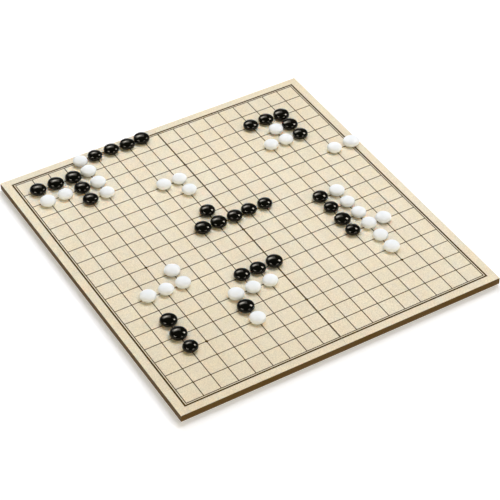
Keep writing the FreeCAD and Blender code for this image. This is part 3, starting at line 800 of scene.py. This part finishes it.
def addStones(node, stones, firstNumber, shape, places, material, slotName):
    # every stone of a chain: the lathed outline with its radius eased in on one oval axis and its
    # height lowered a little, both by that stone's own amounts
    turn = np.linspace(0.0, 2.0 * math.pi, shape["around"], endpoint=False)
    points, own, tones, feet, faces = [], [], [], [], []
    for index, (column, row, size, right, back) in enumerate(stones):
        across, up = stoneProfile(shape, shape["radius"][size])
        rng = np.random.default_rng(places["seed"] + firstNumber + index)
        low, narrow, oval, ovalTurn, tone = rng.random(5)
        ovalWay = np.cos(turn - places["ovalTurn"] * ovalTurn) ** 2
        narrowing = 1.0 - places["narrower"] * narrow - places["oval"] * oval * ovalWay
        stone = lathedPoints(across, up, turn, narrowing, 1.0 - places["thinner"] * low)
        offset = len(points) * len(stone)
        points.append(stone + placeStone(column, row, right, back, places))
        own.append(stone + rng.random(3) * places["glassApart"])
        tones.append(np.full(len(stone), tone))
        feet.append(np.clip(1.0 - stone[:, 2] / shape["groundBand"], 0.0, 1.0))
        for part in lathedFaces(len(across), len(turn)):
            faces += (part + offset).tolist()
    mesh = bpy.data.meshes.new("glass_" + node)
    mesh.from_pydata(np.concatenate(points), [], faces)
    for name, kind, field, values in (
            ("stoneSpace", "FLOAT_VECTOR", "vector", np.concatenate(own).ravel()),
            ("stoneTone", "FLOAT", "value", np.concatenate(tones)),
            ("stoneFoot", "FLOAT", "value", np.concatenate(feet))):
        mesh.attributes.new(name, kind, "POINT").data.foreach_set(field, values)
    mesh.shade_smooth()
    mesh.materials.append(material)
    mesh.update()
    piece = bpy.data.objects.new("glass_" + node, mesh)
    scene.collection.objects.link(piece)
    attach(piece, node)
    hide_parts(node)


stoneCount = 0
for node, stones in chains.items():
    addStones(node, stones, stoneCount, stoneShape, stonePlaces, *glasses[node.split("_")[0]])
    stoneCount += len(stones)
print("stones made:", stoneCount)


floorLook = {
    "half": 40.0,
    "colour": (0.8, 0.8, 0.8, 1.0),
    "roughness": 0.9,
    "lift": (0.34, 1.0),  # what the floor adds to itself where it is seen, near the board and far off
    "liftReach": (0.8, 2.5),  # distances over which the one turns into the other
}


def addFloor(look):
    # one plain sheet, brighter to the eye and in the gloss than to what it lights
    half = look["half"]
    corners = [(-half, -half, 0), (half, -half, 0), (half, half, 0), (-half, half, 0)]
    mesh = bpy.data.meshes.new("floor")
    mesh.from_pydata(corners, [], [(0, 1, 2, 3)])
    floor = bpy.data.objects.new("floor", mesh)
    scene.collection.objects.link(floor)
    material, tree, shader = newFinish("paleFloor", {
        "Base Color": look["colour"], "Roughness": look["roughness"], "Specular IOR Level": 0.0,
        "Emission Strength": 1.0})
    ray = addNode(tree, "LightPath").outputs
    seen = summed(
        tree, ray["Is Camera Ray"], ray["Is Glossy Ray"], ray["Is Transmission Ray"], clamp=True)
    away = addNode(tree, "VectorMath", {0: objectPlace(tree)}, operation="LENGTH").outputs["Value"]
    lift = spread(tree, away, *look["liftReach"], *look["lift"], smooth=True)
    tree.links.new(scaled(tree, seen, lift), shader.inputs["Emission Color"])
    mesh.materials.append(material)


roomLook = {
    "horizon": (1.0, 1.0, 1.0, 1.0),
    "upper": (0.058, 0.054, 0.043, 1.0),
    "band": (0.12, 0.24),  # sines of the heights between which the pale wall fades out
}


def addRoom(look):
    # a pale wall round the horizon under a dim ceiling
    world = bpy.data.worlds.new("studioRoom")
    world.use_nodes = True
    tree = world.node_tree
    direction = addNode(tree, "TexCoord").outputs["Generated"]
    share = spread(tree, heightOf(tree, direction), *look["band"], smooth=True)
    colour = blendColour(tree, share, look["horizon"], look["upper"])
    tree.links.new(colour, tree.nodes["Background"].inputs["Color"])
    scene.world = world


# turn is measured from the board's far side towards its right side, and rise above the table, in
# degrees. The boxes light and show in the gloss of the stones, the strips only show there, and the
# fills only light. The three back boxes overlap, so that their highlight is soft at its edge.
lamps = {
    "backBox": {
        "turn": 11, "rise": 39, "away": 3.2, "size": (0.7, 0.5),
        "glow": 5.4, "tint": (1.0, 0.99, 0.96), "use": "both"},
    "backBoxRim": {
        "turn": 13, "rise": 39, "away": 3.3, "size": (1.25, 0.85),
        "glow": 2.3, "tint": (1.0, 0.99, 0.96), "use": "both"},
    "backBoxEdge": {
        "turn": 15, "rise": 40, "away": 3.4, "size": (2.0, 1.3),
        "glow": 1.3, "tint": (1.0, 0.99, 0.96), "use": "both"},
    "rightBox": {
        "turn": 70, "rise": 49, "away": 3.2, "size": (0.58, 0.5),
        "glow": 16.5, "tint": (1.0, 0.98, 0.95), "use": "both"},
    "leftStrip": {
        "turn": -90, "rise": 56, "away": 3.0, "size": (1.3, 0.4),
        "glow": 20.0, "tint": (1.0, 0.98, 0.96), "use": "gloss"},
    "frontStrip": {
        "turn": 163, "rise": 45, "away": 3.0, "size": (1.2, 0.35),
        "glow": 15.0, "tint": (1.0, 0.97, 0.94), "use": "gloss"},
    "backFill": {
        "turn": 42, "rise": 54, "away": 6.8, "size": (3.2, 2.8),
        "glow": 6.95, "tint": (0.814, 0.864, 1.0), "use": "fill"},
    "rightFill": {
        "turn": 122, "rise": 40, "away": 6.8, "size": (3.2, 2.8),
        "glow": 2.98, "tint": (1.0, 0.913, 0.773), "use": "fill"},
    "leftFill": {
        "turn": -58, "rise": 40, "away": 6.8, "size": (3.2, 2.8),
        "glow": 1.35, "tint": (1.0, 0.82, 0.47), "use": "fill"},
    "frontFill": {
        "turn": -148, "rise": 12, "away": 3.5, "size": (3.0, 1.2),
        "glow": 3.25, "tint": (1.0, 0.9, 0.62), "use": "fill"},
}
lampWatts = 4.0  # for each square metre of a lamp, at a glow of 1


def addLamp(name, lamp):
    # a flat lamp that faces the middle of the board
    turn, rise = math.radians(lamp["turn"]), math.radians(lamp["rise"])
    toward = Vector((math.sin(turn) * math.cos(rise), math.cos(turn) * math.cos(rise), math.sin(rise)))
    data = bpy.data.lights.new(name, "AREA")
    data.shape = "RECTANGLE"
    data.size, data.size_y = lamp["size"]
    data.energy = lampWatts * lamp["size"][0] * lamp["size"][1] * lamp["glow"]
    data.color = lamp["tint"]
    piece = bpy.data.objects.new(name, data)
    piece.location = toward * lamp["away"]
    piece.rotation_euler = toward.to_track_quat("Z", "Y").to_euler()
    piece.visible_camera = False
    piece.visible_glossy = lamp["use"] != "fill"
    piece.visible_diffuse = lamp["use"] != "gloss"
    scene.collection.objects.link(piece)


addFloor(floorLook)
addRoom(roomLook)
for name, lamp in lamps.items():
    addLamp(name, lamp)
print("floor, room and lamps set")
